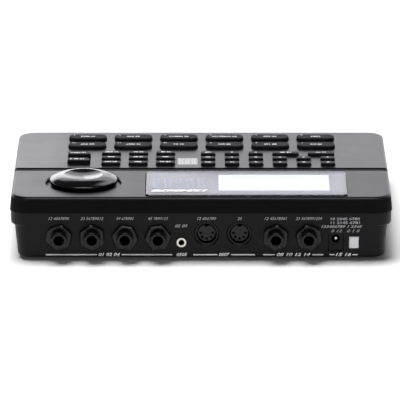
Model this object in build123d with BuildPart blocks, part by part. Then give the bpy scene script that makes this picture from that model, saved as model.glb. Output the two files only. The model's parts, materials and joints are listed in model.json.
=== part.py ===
from build123d import *
from math import atan2, cos, degrees, pi, radians, sin, tan
import os

# Table-top drum machine. Units are millimetres and +Z is up.
# The origin is on the table, below the middle of the part. +X is the player's right hand,
# -Y is the edge next to the player and +Y is the edge with the sockets.

# ---- case -------------------------------------------------------------------------
case_width = 237.8           # over the joint line between the shells
case_depth = 165.0
rear_height = 39.8           # underside of the case to the top edge above the sockets
rear_section_depth = 63.8    # socket edge to the break in the deck, where the groove runs
rear_slope = 2.0             # degrees, fall of the deck from the socket edge to the groove
front_slope = 4.4            # degrees, fall of the deck from the groove to the player
corner_radius = 11.0
deck_edge_radius = 2.0
side_draft = 5.0             # degrees, the sides of the top shell lean in towards the deck
wall = 2.5
floor_thickness = 2.0
skirt_height = 10.4          # side band of the top shell
parting_slope = 3.5          # degrees, fall of the joint line between the shells
shell_step = 0.5             # the bottom shell is set in by this much under the skirt
flange_height = 9.0          # upright band at the top of the bottom shell
flange_edge_radius = 2.0
tub_inset = 2.3              # the tub is set in by this much under the flange
tub_draft = 5.5              # degrees
tub_corner_radius = 8.0
tub_edge_radius = 2.4
groove_front = 3.1           # break of the deck to the player's side of the groove
groove_rear = 4.2            # break of the deck to the socket side of the groove
groove_depth = 0.8

# ---- clearances -------------------------------------------------------------------
cap_clearance = 0.3          # all round a cap in its hole
flange_gap = 0.3             # cap flange to the underside of the deck
seat_clearance = 0.1         # fixed pieces in their seats
running_clearance = 0.04     # knob stem in its bushing

# ---- drum pads --------------------------------------------------------------------
pad_width = 24.2
pad_depth = 12.0
pad_corner = 4.8
pad_edge = 0.9
pad_height = 2.1
pad_travel = 1.2
pad_columns = 6
pad_rows = 2
pad_pitch_x = 29.4
pad_pitch_y = 21.6
pad_field_x = -0.4           # middle of the pad field
pad_row_back = 59.2          # groove to the middle of the rear pad row, along the deck

# ---- buttons ----------------------------------------------------------------------
key_height = 1.9
key_travel = 0.8
key_corner = 1.8
key_edge = 0.55
key_row_pitch = 13.2
key_row_rear = 10.9          # groove to the middle of the rear row of number keys
number_key_width = 9.0
number_key_depth = 5.6
number_key_pitch = 15.2
number_key_x = -4.5          # first column of number keys, from the player's right
number_key_columns = 6
mode_key_width = 16.8
function_key_width = 12.0
function_key_depth = 5.4
function_key_pitch = 17.3
function_key_x = 57.2        # first column of function keys
function_row_rear = 11.9
function_key_columns = 3
key_rows = 3
transport_key_width = 15.2
transport_key_depth = 7.0
transport_key_slant = 2.4    # the end towards the other keys is cut at a slant
transport_key_height = 2.6
transport_key_x = 77.2
transport_rear = 16.8        # groove to the middle of the start key
transport_pitch = 16.7

# ---- cap guides -------------------------------------------------------------------
cap_flange_width = 1.0
cap_flange_thickness = 1.0
stem_width = 5.0
stem_depth = 3.0

# ---- volume control ---------------------------------------------------------------
knob_x = 73.6
knob_back = 34.5             # socket edge to the middle of the knob
knob_radius = 21.1
knob_side_height = 1.8       # deck to the widest part of the knob
knob_edge_radius = 1.0
knob_edge_slope = 29.0       # degrees, fall of the shoulder where the edge rounding starts
knob_rim_radius = 12.0
knob_rim_height = 5.2
knob_rim_width = 0.4
knob_slope_bulge = 0.46
knob_dish_depth = 2.0
knob_foot_inset = 0.4        # the side draws in by this much down to the foot
knob_skin = 1.8
knob_hub_radius = 6.0
knob_lift = 0.5              # gap between the knob and the floor of its well
knob_mark_angle = 186.0
knob_mark_width = 1.0
knob_mark_depth = 0.5
knob_mark_start = 13.8
knob_mark_end = 18.2
well_radius = 24.2
well_rim = 0.6
well_depth = 2.0
well_floor = 1.5
stem_radius = 3.0
bushing_radius = 4.2
pot_radius = 8.5
pot_height = 9.0

# ---- display ----------------------------------------------------------------------
lens_width = 126.0
lens_depth = 53.4
lens_x = -28.2
lens_back = 2.9              # socket edge to the lens
lens_corner = 3.0
lens_thickness = 2.0
lens_proud = 0.9             # the lens stands this far over the deck
lens_edge = 0.5
mask_thickness = 0.3
lens_shelf = 1.5
screen_width = 69.2
screen_depth = 35.9
screen_x = -45.5
screen_back = 32.4           # socket edge to the middle of the screen
screen_border = 0.8          # shelf opening beyond the screen
screen_frame = 6.0
screen_body = 5.0

# ---- sockets ----------------------------------------------------------------------
nose_protrusion = 7.0        # collar tips stand this far behind the case
nose_radius = 5.3
nose_edge = 1.1
jack_bore_radius = 3.25
jack_bore_depth = 28.0
jack_body_width = 15.6
jack_body_depth = 24.5
jack_body_height = 16.0
jack_axis_height = 13.8      # above the underside of the case
output_jack_count = 4
pedal_jack_count = 2
nut_across_flats = 15.2
nut_corner_radius = 8.3
nut_thickness = 2.4
nut_edge = 0.6
nut_turn = 17.0              # degrees, each nut is tightened further round than the one before
tape_axis_height = 10.5
tape_nose_radius = 3.0
tape_nose_length = 1.0
tape_bore_radius = 1.8
tape_bore_depth = 14.0
tape_body_width = 9.0
tape_body_depth = 12.0
din_count = 2
din_axis_height = 15.8
din_radius = 7.1
din_shell = 0.6
din_lip = 0.9                # bevel round the openings of the DIN sockets
din_insert_radius = 5.3
din_insert_set_back = 2.2
din_depth = 9.0
din_pin_circle = 3.75
din_pin_radius = 0.8
din_pins = 5
din_key_width = 2.4
din_body_width = 18.4
din_body_depth = 13.0
din_body_height = 19.5
inlet_width = 9.0
inlet_height = 11.4
inlet_set_back = 0.7
inlet_middle = 10.4          # middle of the inlet face above the underside
inlet_hole_radius = 2.7
inlet_hole_rise = 2.1        # hole above the middle of the face
inlet_hole_depth = 9.0
inlet_pin_radius = 1.05
inlet_pin_set_back = 0.8
inlet_body_depth = 13.0
power_width = 5.8
power_height = 7.3
power_middle = 10.65
power_stand_out = 2.0
power_travel = 1.6
power_edge = 0.5
power_cap_length = 9.0
switch_width = 10.0
switch_depth = 13.0
switch_rise = 5.0            # switch body above the cap's axis

# ---- stations across the back, in hundredths of the case's width from its middle --
output_jack_station = 37.13
jack_pitch = 8.62
tape_station = 5.13
din_station = -1.43
din_pitch = 8.62
pedal_jack_station = -19.51
inlet_station = -35.2
power_station = -39.91

# ---- boards -----------------------------------------------------------------------
board_thickness = 1.6
board_side_gap = 2.4         # board to the screw bosses
deck_board_drop = 6.0        # deck surface to the top of the control board
deck_board_front_gap = 2.0   # control board to the front wall
deck_board_rear = 6.0        # groove to the rear edge of the control board
main_board_height = 4.7      # top of the main board above the underside
main_board_depth = 56.0
board_post_radius = 2.6
post_inset = 3.5             # edge of a board to the middle of a post
deck_post_row = 46.6         # groove to the rear pair of posts, between the keys and the pads

# ---- feet and screws --------------------------------------------------------------
foot_height = 1.8            # the feet lift the case by this much
foot_radius = 7.0
foot_recess = 0.6
foot_side = 26.9             # from the side of the case
foot_front = 14.0            # from the front of the case
foot_rear = 22.0             # from the socket side of the case
screw_side = 13.4            # from the side of the case
screw_front = 14.0           # from the front of the case
screw_rear = 19.0            # from the socket side of the case
boss_radius = 3.6
boss_base_radius = 4.8       # foot of the boss in the bottom shell, round the screw head
boss_seat = 2.0              # plastic under the screw head
screw_radius = 1.5
screw_head_radius = 3.0
screw_head_height = 2.0
screw_length = 12.0
screw_recess = 3.2
screw_slot_width = 0.8
screw_slot_length = 3.6
screw_slot_depth = 0.9

# ---- derived places ---------------------------------------------------------------
rear_y = (case_depth - nose_protrusion) / 2
front_y = rear_y - case_depth
base_z = foot_height
rear_top_z = base_z + rear_height
groove_y = rear_y - rear_section_depth
rear_fall = tan(radians(rear_slope))
front_fall = tan(radians(front_slope))
groove_z = rear_top_z - rear_section_depth * rear_fall
front_top_z = groove_z - (groove_y - front_y) * front_fall
parting_rear_z = rear_top_z - skirt_height
parting_front_z = parting_rear_z - case_depth * tan(radians(parting_slope))
shell_width = case_width - 2 * shell_step
shell_rear_y = rear_y - shell_step
shell_front_y = front_y + shell_step
inner_wall_y = shell_rear_y - wall
board_top_z = base_z + main_board_height
floor_z = base_z + floor_thickness
boss_seam_z = base_z + screw_recess + boss_seat
screw_x = case_width / 2 - screw_side
foot_x = case_width / 2 - foot_side
board_width = 2 * (screw_x - boss_radius - board_side_gap)
post_x = board_width / 2 - post_inset
deck_board_front = (groove_y - front_y) / cos(radians(front_slope)) - wall - deck_board_front_gap
deck_post_rows = (deck_post_row, deck_board_front - board_post_radius - post_inset)
lens_seat = lens_thickness - lens_proud + mask_thickness
well_seat = well_depth + well_floor

rear_deck = Plane(
    origin=(0, rear_y, rear_top_z),
    x_dir=(1, 0, 0),
    z_dir=(0, -sin(radians(rear_slope)), cos(radians(rear_slope))),
)
front_deck = Plane(
    origin=(0, groove_y, groove_z),
    x_dir=(1, 0, 0),
    z_dir=(0, -sin(radians(front_slope)), cos(radians(front_slope))),
)
parting = Plane(
    origin=(0, rear_y, parting_rear_z),
    x_dir=(1, 0, 0),
    z_dir=(0, -sin(radians(parting_slope)), cos(radians(parting_slope))),
)
deck_up = Axis(front_deck.origin, front_deck.z_dir)
parting_up = Axis(parting.origin, parting.z_dir)


def back_plane(y):
    """Upright plane at y that faces the sockets' side; its x runs along -X and its y up."""
    return Plane(origin=(0, y, 0), x_dir=(-1, 0, 0), z_dir=(0, 1, 0))


def side_plane(side, inset):
    """Leaning plane on one side of the top shell, through the joint line, set in by inset."""
    lean = radians(side_draft)
    return Plane(
        origin=(side * (case_width / 2 - inset), rear_y, parting_rear_z),
        x_dir=parting.y_dir,
        z_dir=Vector(side * cos(lean), 0, 0) + parting.z_dir * sin(lean),
    )


def side_profile(inset, drop):
    """Half of a shell in side view, set in by inset at the ends and by drop under the deck."""
    rear_drop = drop / cos(radians(rear_slope))
    front_drop = drop / cos(radians(front_slope))
    front_end = front_y + inset
    rear_end = rear_y - inset
    low = 2 * case_depth * tan(radians(parting_slope))
    break_shift = (front_drop - rear_drop) / (front_fall - rear_fall)
    return [
        (front_end, parting_front_z - low),
        (front_end, front_top_z + inset * front_fall - front_drop),
        (groove_y + break_shift, groove_z + break_shift * rear_fall - rear_drop),
        (rear_end, rear_top_z - inset * rear_fall - rear_drop),
        (rear_end, parting_front_z - low),
    ]


# ---- caps: where each one stands on the deck and its outline ----------------------
def slanted_outline(grow=0.0):
    """Outline of a start or stop key, whose end towards the other keys is cut at a slant."""
    half_width = transport_key_width / 2
    half_depth = transport_key_depth / 2
    corners = [
        (half_width, -half_depth),
        (half_width, half_depth),
        (-half_width, half_depth),
        (transport_key_slant - half_width, -half_depth),
    ]
    with BuildSketch(mode=Mode.PRIVATE) as outline:
        with BuildLine():
            Polyline(*corners, close=True)
        make_face()
        fillet(outline.vertices(), key_corner)
        if grow > 0:
            offset(amount=grow)
    return outline.sketch


def rounded_outline(width, depth, corner, grow):
    """Outline of a cap with rounded corners, grown evenly by a clearance or a flange."""
    with BuildSketch(mode=Mode.PRIVATE) as outline:
        RectangleRounded(width + 2 * grow, depth + 2 * grow, corner + grow)
    return outline.sketch


pad_caps = []
for row in range(pad_rows):
    for column in range(pad_columns):
        pad_x = pad_field_x + (column - (pad_columns - 1) / 2) * pad_pitch_x
        pad_y = -pad_row_back - (pad_rows - 1 - row) * pad_pitch_y
        pad_name = f"drum_pad_{row * pad_columns + column + 1}"
        pad_caps.append((pad_name, (pad_x, pad_y)))

function_caps = []
for row in range(key_rows):
    for column in range(function_key_columns):
        key_x = function_key_x - (function_key_columns - 1 - column) * function_key_pitch
        key_y = -function_row_rear - (key_rows - 1 - row) * key_row_pitch
        key_name = f"function_button_{row * function_key_columns + column + 1}"
        function_caps.append((key_name, (key_x, key_y)))

number_caps = []
for row in range(key_rows):
    row_y = -key_row_rear - (key_rows - 1 - row) * key_row_pitch
    columns = number_key_columns if row > 0 else number_key_columns // 2
    for column in range(columns):
        key_x = number_key_x - column * number_key_pitch
        number_caps.append((f"number_button_{len(number_caps) + 1}", (key_x, row_y)))

mode_caps = []
mode_y = -key_row_rear - (key_rows - 1) * key_row_pitch
mode_left = number_key_x - (number_key_columns - 1) * number_key_pitch
mode_right = mode_left + (number_key_columns // 2 - 1) * number_key_pitch
mode_shift = (mode_key_width - number_key_width) / 2
for number, key_x in enumerate((mode_right - mode_shift, mode_left + mode_shift), start=1):
    mode_caps.append((f"mode_button_{number}", (key_x, mode_y)))

transport_caps = [
    ("start_button", (transport_key_x, -transport_rear)),
    ("stop_button", (transport_key_x, -transport_rear - transport_pitch)),
]


def pad_outline(grow=0.0):
    return rounded_outline(pad_width, pad_depth, pad_corner, grow)


def function_outline(grow=0.0):
    return rounded_outline(function_key_width, function_key_depth, key_corner, grow)


def number_outline(grow=0.0):
    return rounded_outline(number_key_width, number_key_depth, key_corner, grow)


def mode_outline(grow=0.0):
    return rounded_outline(mode_key_width, number_key_depth, key_corner, grow)


cap_families = [
    (pad_caps, pad_outline, pad_height, pad_travel, pad_edge),
    (function_caps, function_outline, key_height, key_travel, key_edge),
    (number_caps, number_outline, key_height, key_travel, key_edge),
    (mode_caps, mode_outline, key_height, key_travel, key_edge),
    (transport_caps, slanted_outline, transport_key_height, key_travel, key_edge),
]

# ---- places of the other pieces ---------------------------------------------------
knob_place = (knob_x, -knob_back)
lens_place = (lens_x, -lens_back - lens_depth / 2)
screen_place = (screen_x, -screen_back)
hundredth = case_width / 100
output_jacks_x = [(output_jack_station - i * jack_pitch) * hundredth for i in range(output_jack_count)]
pedal_jacks_x = [(pedal_jack_station - i * jack_pitch) * hundredth for i in range(pedal_jack_count)]
tape_x = tape_station * hundredth
inlet_x = inlet_station * hundredth
power_x = power_station * hundredth
jack_z = base_z + jack_axis_height
din_sockets_x = [(din_station - i * din_pitch) * hundredth for i in range(din_count)]
din_z = base_z + din_axis_height
tape_z = base_z + tape_axis_height
inlet_z = base_z + inlet_middle
power_z = base_z + power_middle
screw_front_y = front_y + screw_front
screw_rear_y = rear_y - screw_rear
screw_rows = (screw_front_y, (screw_front_y + screw_rear_y) / 2, screw_rear_y)
screw_places = [(side * screw_x, y) for y in screw_rows for side in (-1, 1)]
foot_places = [
    (side * foot_x, y) for y in (front_y + foot_front, rear_y - foot_rear) for side in (-1, 1)
]
deck_post_places = [(side * post_x, -row) for row in deck_post_rows for side in (-1, 1)]

# ---- top shell --------------------------------------------------------------------
with BuildPart() as top_cavity:
    with BuildSketch(Plane.YZ):
        with BuildLine():
            Polyline(*side_profile(wall, wall), close=True)
        make_face()
    extrude(amount=case_width / 2, both=True)
    for side in (-1, 1):
        split(bisect_by=side_plane(side, wall), keep=Keep.BOTTOM)
    uprights = top_cavity.edges().filter_by(lambda edge: abs(edge.tangent_at(0.5).Z) > 0.9)
    fillet(uprights, corner_radius - wall)
    # the shelf under the lens and the floor of the knob's well lie lower than the deck
    with BuildSketch(rear_deck.offset(-lens_seat - lens_shelf)):
        with Locations(lens_place):
            Rectangle(lens_width + 2 * wall, lens_depth)
    extrude(amount=lens_seat + lens_shelf, mode=Mode.SUBTRACT)
    with BuildSketch(rear_deck.offset(-well_seat)):
        with Locations(knob_place):
            Circle(well_radius + well_floor)
    extrude(amount=well_seat, mode=Mode.SUBTRACT)
    # screw bosses and board posts stand in the cavity
    with BuildSketch(Plane.XY):
        with Locations(*screw_places):
            Circle(boss_radius)
    extrude(amount=rear_top_z, mode=Mode.SUBTRACT)
    with BuildSketch(front_deck.offset(-deck_board_drop)):
        with Locations(*deck_post_places):
            Circle(board_post_radius)
    extrude(amount=deck_board_drop, mode=Mode.SUBTRACT)

with BuildPart() as top_case:
    with BuildSketch(Plane.YZ):
        with BuildLine():
            Polyline(*side_profile(0, 0), close=True)
        make_face()
    extrude(amount=case_width, both=True)
    for side in (-1, 1):
        split(bisect_by=side_plane(side, 0), keep=Keep.BOTTOM)
    uprights = top_case.edges().filter_by(lambda edge: abs(edge.tangent_at(0.5).Z) > 0.9)
    fillet(uprights, corner_radius)
    deck_faces = top_case.faces().filter_by(lambda face: face.normal_at().Z > 0.9)
    rim = deck_faces.edges().filter_by(lambda edge: abs(edge.center().Y - groove_y) > wall)
    fillet(rim, deck_edge_radius)
    add(top_cavity.part, mode=Mode.SUBTRACT)
    split(bisect_by=parting, keep=Keep.TOP)
    # groove at the break of the deck, open at both sides
    with BuildSketch(Plane.YZ):
        with BuildLine():
            Polyline(
                (groove_y - groove_front, groove_z + groove_depth),
                (groove_y - groove_front, groove_z - groove_depth),
                (groove_y + groove_rear - groove_depth, groove_z - groove_depth),
                (groove_y + groove_rear + groove_depth, groove_z + groove_depth),
                close=True,
            )
        make_face()
    extrude(amount=case_width, both=True, mode=Mode.SUBTRACT)
    # seats for the lens and its printed mask, and the opening for the screen
    with BuildSketch(rear_deck.offset(-lens_seat)):
        with Locations(lens_place):
            add(rounded_outline(lens_width, lens_depth, lens_corner, seat_clearance))
    extrude(amount=lens_seat + wall, mode=Mode.SUBTRACT)
    with BuildSketch(rear_deck.offset(-2 * wall)):
        with Locations(screen_place):
            Rectangle(screen_width + 2 * screen_border, screen_depth + 2 * screen_border)
    extrude(amount=2 * wall, mode=Mode.SUBTRACT)
    # well and bushing hole of the volume knob
    with BuildSketch(rear_deck):
        with Locations(knob_place):
            Circle(well_radius)
    extrude(amount=-well_rim, taper=45, mode=Mode.SUBTRACT)
    with BuildSketch(rear_deck.offset(-well_depth)):
        with Locations(knob_place):
            Circle(well_radius - well_rim)
    extrude(amount=well_depth, mode=Mode.SUBTRACT)
    with BuildSketch(rear_deck.offset(-2 * wall)):
        with Locations(knob_place):
            Circle(bushing_radius + seat_clearance)
    extrude(amount=3 * wall, mode=Mode.SUBTRACT)
    # cap holes
    for caps, outline, height, travel, edge in cap_families:
        with BuildSketch(front_deck.offset(-2 * wall)):
            with Locations(*[place for name, place in caps]):
                add(outline(cap_clearance))
        extrude(amount=3 * wall, mode=Mode.SUBTRACT)
    # the screw bosses reach down into the bottom shell
    with BuildSketch(Plane.XY.offset(boss_seam_z)):
        with Locations(*screw_places):
            Circle(boss_radius)
    extrude(amount=parting_rear_z - boss_seam_z)
    with BuildSketch(Plane.XY):
        with Locations(*screw_places):
            Circle(screw_radius + running_clearance)
    extrude(amount=base_z + screw_recess + screw_length + wall, mode=Mode.SUBTRACT)
top_case.part.label = "top_case"

# ---- bottom shell -----------------------------------------------------------------
tub_spread = tan(radians(tub_draft))
tub_height = parting_rear_z - base_z
tub_front_height = parting_front_z - flange_height - base_z
tub_half_width = shell_width / 2 - tub_inset - (tub_height - flange_height) * tub_spread
tub_front_y = shell_front_y + tub_inset + tub_front_height * tub_spread
main_post_rows = (main_board_depth - 2 * board_post_radius, main_board_depth / 2)
main_post_places = [(side * post_x, inner_wall_y - row) for row in main_post_rows for side in (-1, 1)]


def tub_outline(height, inset):
    """Outline of the tub at a height over its underside: the back is upright, the rest drafted."""
    spread = height * tub_spread
    front = tub_front_y - spread + inset
    rear = shell_rear_y - inset
    corner = tub_corner_radius + spread - inset
    with BuildSketch(Plane.XY.offset(base_z + height), mode=Mode.PRIVATE) as outline:
        with Locations((0, (front + rear) / 2)):
            RectangleRounded(2 * (tub_half_width + spread - inset), rear - front, corner)
    return outline.sketch


def flange_block(inset, bottom, top):
    """Upright block with the outline of the shell, between two levels along the parting."""
    with BuildPart() as block:
        with BuildSketch(Plane.XY):
            with Locations((0, (shell_front_y + shell_rear_y) / 2)):
                RectangleRounded(
                    shell_width - 2 * inset,
                    shell_rear_y - shell_front_y - 2 * inset,
                    corner_radius - shell_step - inset,
                )
        extrude(amount=2 * rear_top_z)
        split(bisect_by=parting.offset(top), keep=Keep.BOTTOM)
        split(bisect_by=parting.offset(bottom), keep=Keep.TOP)
    return block.part


with BuildPart() as tub:
    loft(sections=[tub_outline(0, 0), tub_outline(tub_height, 0)], ruled=True)
    fillet(tub.faces().sort_by(Axis.Z)[0].edges(), tub_edge_radius)

with BuildPart() as flange:
    add(flange_block(0, -flange_height, 0))
    fillet(flange.faces().sort_by(parting_up)[0].edges(), flange_edge_radius)

with BuildPart() as bottom_case:
    add(tub.part)
    split(bisect_by=parting.offset(-flange_height / 2), keep=Keep.BOTTOM)
    add(flange.part)
    # hollow of the tub and of the flange
    loft(
        sections=[tub_outline(floor_thickness, wall), tub_outline(tub_height + wall, wall)],
        ruled=True,
        mode=Mode.SUBTRACT,
    )
    add(flange_block(wall, wall - flange_height, wall), mode=Mode.SUBTRACT)
    # feet of the screw bosses, with the sunk seats of the screws
    with BuildSketch(Plane.XY.offset(floor_z)):
        with Locations(*screw_places):
            Circle(boss_base_radius)
    extrude(amount=boss_seam_z - floor_z)
    with BuildSketch(Plane.XY.offset(base_z)):
        with Locations(*screw_places):
            Circle(screw_head_radius + cap_clearance)
    extrude(amount=screw_recess, mode=Mode.SUBTRACT)
    with BuildSketch(Plane.XY.offset(base_z)):
        with Locations(*screw_places):
            Circle(screw_radius + seat_clearance)
    extrude(amount=boss_seam_z - base_z, mode=Mode.SUBTRACT)
    # seats of the rubber feet
    with BuildSketch(Plane.XY.offset(base_z)):
        with Locations(*foot_places):
            Circle(foot_radius + seat_clearance)
    extrude(amount=foot_recess, mode=Mode.SUBTRACT)
    # posts of the main board
    with BuildSketch(Plane.XY.offset(floor_z)):
        with Locations(*main_post_places):
            Circle(board_post_radius)
    extrude(amount=board_top_z - board_thickness - floor_z)
    # openings of the sockets and the power key
    with BuildSketch(back_plane(inner_wall_y - wall)):
        with Locations(*[(-x, jack_z) for x in output_jacks_x + pedal_jacks_x]):
            Circle(nose_radius + seat_clearance)
        with Locations((-tape_x, tape_z)):
            Circle(tape_nose_radius + seat_clearance)
        with Locations(*[(-x, din_z) for x in din_sockets_x]):
            Circle(din_radius + seat_clearance)
        with Locations((-inlet_x, inlet_z)):
            Rectangle(inlet_width + 2 * cap_clearance, inlet_height + 2 * cap_clearance)
        with Locations((-power_x, power_z)):
            Rectangle(power_width + 2 * cap_clearance, power_height + 2 * cap_clearance)
    extrude(amount=3 * wall, mode=Mode.SUBTRACT)
    with BuildSketch(back_plane(shell_rear_y)):
        with Locations(*[(-x, din_z) for x in din_sockets_x]):
            Circle(din_radius + seat_clearance + din_lip)
    extrude(amount=-din_lip, taper=45, mode=Mode.SUBTRACT)
bottom_case.part.label = "bottom_case"

# ---- pads and buttons -------------------------------------------------------------
stem_drop = deck_board_drop - cap_clearance


def cap_solid(outline, place, height, travel, edge):
    """One cap: the body through the deck, the flange under it and the stem over the board."""
    size = outline().bounding_box().size
    with BuildPart() as cap:
        with BuildSketch(front_deck.offset(-wall - flange_gap)):
            with Locations(place):
                add(outline())
        extrude(amount=wall + flange_gap + height)
        fillet(cap.faces().sort_by(deck_up)[-1].edges(), edge)
        with BuildSketch(front_deck.offset(-wall - flange_gap)):
            with Locations(place):
                Rectangle(size.X + 2 * cap_flange_width, size.Y + 2 * cap_flange_width)
        extrude(amount=-cap_flange_thickness)
        with BuildSketch(front_deck.offset(-wall - flange_gap - cap_flange_thickness)):
            with Locations(place):
                Rectangle(stem_width, stem_depth)
        extrude(amount=-(stem_drop - travel - wall - flange_gap - cap_flange_thickness))
    return cap.part


caps = []
for family, outline, height, travel, edge in cap_families:
    for name, place in family:
        cap = cap_solid(outline, place, height, travel, edge)
        cap.label = name
        caps.append(cap)

# ---- volume knob ------------------------------------------------------------------
knob_origin = rear_deck.from_local_coords((knob_x, -knob_back, 0))
knob_deck = Plane(origin=knob_origin, x_dir=rear_deck.x_dir, z_dir=rear_deck.z_dir)
knob_section = Plane(origin=knob_origin, x_dir=rear_deck.x_dir, z_dir=-rear_deck.y_dir)
knob_foot = knob_lift - well_depth
knob_floor = knob_rim_height - knob_dish_depth
knob_inner_radius = knob_radius - knob_edge_radius - knob_skin
knob_shoulder_radius = knob_rim_radius + knob_rim_width
knob_edge_turn = radians(knob_edge_slope)
knob_edge_top = (
    knob_radius - knob_edge_radius * (1 - sin(knob_edge_turn)),
    knob_side_height + knob_edge_radius * cos(knob_edge_turn),
)
knob_slope_middle = (
    (knob_shoulder_radius + knob_edge_top[0]) / 2,
    (knob_rim_height + knob_edge_top[1]) / 2 + knob_slope_bulge,
)
knob_slope = atan2(
    knob_rim_height - knob_edge_top[1], knob_edge_top[0] - knob_shoulder_radius
)

with BuildPart() as volume_knob:
    with BuildSketch(knob_section):
        with BuildLine():
            TangentArc((0, knob_floor), (knob_rim_radius, knob_rim_height), tangent=(1, 0))
            Line((knob_rim_radius, knob_rim_height), (knob_shoulder_radius, knob_rim_height))
            ThreePointArc(
                (knob_shoulder_radius, knob_rim_height), knob_slope_middle, knob_edge_top
            )
            RadiusArc(knob_edge_top, (knob_radius, knob_side_height), knob_edge_radius)
            Polyline(
                (knob_radius, knob_side_height),
                (knob_radius - knob_foot_inset, knob_foot),
                (knob_inner_radius, knob_foot),
                (knob_inner_radius, knob_floor - knob_skin),
                (knob_hub_radius, knob_floor - knob_skin),
                (knob_hub_radius, knob_foot),
                (stem_radius, knob_foot),
                (stem_radius, -well_seat - pot_height / 2),
                (0, -well_seat - pot_height / 2),
                (0, knob_floor),
            )
        make_face()
    revolve(axis=Axis(knob_origin, rear_deck.z_dir))
    # pointer mark cut into the shoulder, along its slope
    mark_middle = (knob_mark_start + knob_mark_end) / 2
    mark_turn = Rotation(0, 0, knob_mark_angle)
    mark_lean = Pos(mark_middle, 0, knob_slope_middle[1]) * Rotation(0, degrees(knob_slope), 0)
    mark_deck = Plane(knob_deck.location * mark_turn * mark_lean)
    with BuildSketch(mark_deck.offset(-knob_mark_depth)):
        SlotOverall(knob_mark_end - knob_mark_start, knob_mark_width)
    extrude(amount=knob_rim_height, mode=Mode.SUBTRACT)
volume_knob.part.label = "volume_knob"

with BuildPart() as volume_pot:
    with BuildSketch(knob_deck.offset(-well_seat - pot_height)):
        Circle(pot_radius)
    extrude(amount=pot_height)
    with BuildSketch(knob_deck.offset(-well_seat)):
        Circle(bushing_radius)
    extrude(amount=well_floor)
    with BuildSketch(knob_deck.offset(-well_depth)):
        Circle(stem_radius + running_clearance)
    extrude(amount=-well_floor - pot_height + wall, mode=Mode.SUBTRACT)
volume_pot.part.label = "volume_pot"

# ---- display ----------------------------------------------------------------------
with BuildPart() as display_lens:
    with BuildSketch(rear_deck.offset(lens_proud - lens_thickness)):
        with Locations(lens_place):
            add(rounded_outline(lens_width, lens_depth, lens_corner, 0))
    extrude(amount=lens_thickness)
    chamfer(display_lens.faces().sort_by(Axis.Z)[-1].edges(), lens_edge)
display_lens.part.label = "display_lens"

with BuildPart() as display_mask:
    with BuildSketch(rear_deck.offset(-lens_seat)):
        with Locations(lens_place):
            add(rounded_outline(lens_width, lens_depth, lens_corner, 0))
        with Locations(screen_place):
            Rectangle(screen_width, screen_depth, mode=Mode.SUBTRACT)
    extrude(amount=mask_thickness)
display_mask.part.label = "display_mask"

screen_seat = lens_seat + lens_shelf
with BuildPart() as lcd_module:
    with BuildSketch(rear_deck.offset(-screen_seat - screen_body)):
        with Locations(screen_place):
            Rectangle(screen_width + 2 * screen_frame, screen_depth + 2 * screen_frame)
    extrude(amount=screen_body)
    with BuildSketch(rear_deck.offset(-screen_seat)):
        with Locations(screen_place):
            Rectangle(screen_width + screen_border, screen_depth + screen_border)
    extrude(amount=lens_shelf)
lcd_module.part.label = "lcd_module"

# ---- boards -----------------------------------------------------------------------
with BuildPart() as control_board:
    with BuildSketch(front_deck.offset(-deck_board_drop - board_thickness)):
        with Locations((0, -(deck_board_front + deck_board_rear) / 2)):
            Rectangle(board_width, deck_board_front - deck_board_rear)
    extrude(amount=board_thickness)
control_board.part.label = "control_board"

with BuildPart() as main_board:
    with BuildSketch(Plane.XY.offset(board_top_z - board_thickness)):
        with Locations((0, inner_wall_y - cap_clearance - main_board_depth / 2)):
            Rectangle(board_width, main_board_depth)
    extrude(amount=board_thickness)
main_board.part.label = "main_board"


# ---- sockets ----------------------------------------------------------------------
def phone_jacks(places):
    """Row of 6.35 mm jacks: bodies on the main board, round collars through the panel, bores."""
    with BuildPart() as jacks:
        with BuildSketch(Plane.XY.offset(board_top_z)):
            with Locations(*[(x, inner_wall_y - jack_body_depth / 2) for x in places]):
                Rectangle(jack_body_width, jack_body_depth)
        extrude(amount=jack_body_height)
        with BuildSketch(back_plane(inner_wall_y)):
            with Locations(*[(-x, jack_z) for x in places]):
                Circle(nose_radius)
        extrude(amount=rear_y + nose_protrusion - inner_wall_y)
        tips = jacks.edges().filter_by(GeomType.CIRCLE).group_by(Axis.Y)[-1]
        fillet(tips, nose_edge)
        with BuildSketch(back_plane(rear_y + nose_protrusion)):
            with Locations(*[(-x, jack_z) for x in places]):
                Circle(jack_bore_radius)
        extrude(amount=-jack_bore_depth, mode=Mode.SUBTRACT)
    return jacks.part


output_jacks = phone_jacks(output_jacks_x)
output_jacks.label = "output_jacks"
footswitch_jacks = phone_jacks(pedal_jacks_x)
footswitch_jacks.label = "footswitch_jacks"

with BuildPart() as jack_nuts:
    for number, x in enumerate(output_jacks_x + pedal_jacks_x):
        with BuildSketch(back_plane(shell_rear_y)):
            with Locations((-x, jack_z)):
                RegularPolygon(
                    nut_across_flats / 2, 6, major_radius=False, rotation=nut_turn * (number + 1)
                )
                Circle(nut_corner_radius, mode=Mode.INTERSECT)
        extrude(amount=nut_thickness)
    fronts = jack_nuts.faces().group_by(Axis.Y)[-1]
    chamfer(fronts.edges(), nut_edge)
    with BuildSketch(back_plane(shell_rear_y)):
        with Locations(*[(-x, jack_z) for x in output_jacks_x + pedal_jacks_x]):
            Circle(nose_radius + running_clearance)
    extrude(amount=nut_thickness, mode=Mode.SUBTRACT)
jack_nuts.part.label = "jack_nuts"

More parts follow.
